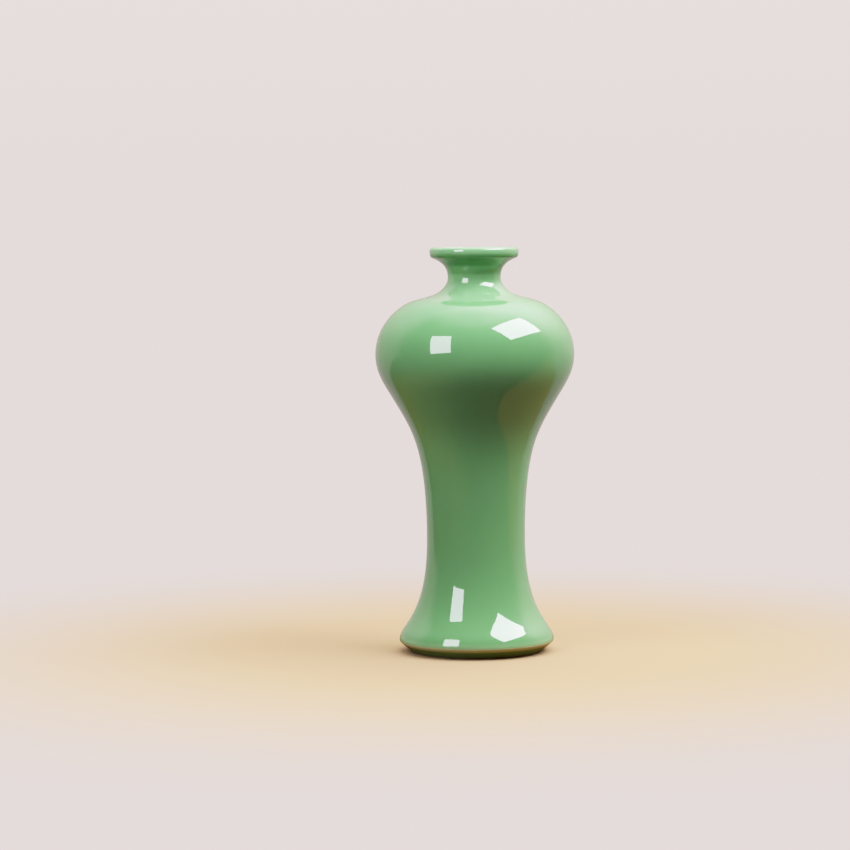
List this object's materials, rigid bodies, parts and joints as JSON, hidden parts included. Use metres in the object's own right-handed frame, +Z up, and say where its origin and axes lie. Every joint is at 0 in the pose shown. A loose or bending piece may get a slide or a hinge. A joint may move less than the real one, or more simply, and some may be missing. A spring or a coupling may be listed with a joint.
{
  "type": "celadon sake bottle",
  "caption": "Plum-vase shaped stoneware bottle with a trumpet mouth, narrow neck, full shoulder, slim waist and flared skirt, celadon glazed inside and out.",
  "frame": {"origin": "centre of the foot, on the plane that the bottle stands on", "axes": "+Z up along the turning axis, from the foot to the mouth; +X and +Y are free, because the bottle is the same all the way round"},
  "size_m": [0.1474, 0.1474, 0.3],
  "materials": {
    "stoneware": "matte",
    "outer_celadon": "gloss",
    "inner_celadon": "gloss",
    "recess_celadon": "gloss"
  },
  "bodies": {
    "root": {"base_section": "stoneware", "waist_section": "stoneware", "shoulder_section": "stoneware", "neck_section": "stoneware", "outer_glaze": "outer_celadon", "inner_glaze": "inner_celadon", "base_glaze": "recess_celadon"}
  },
  "joints": []
}
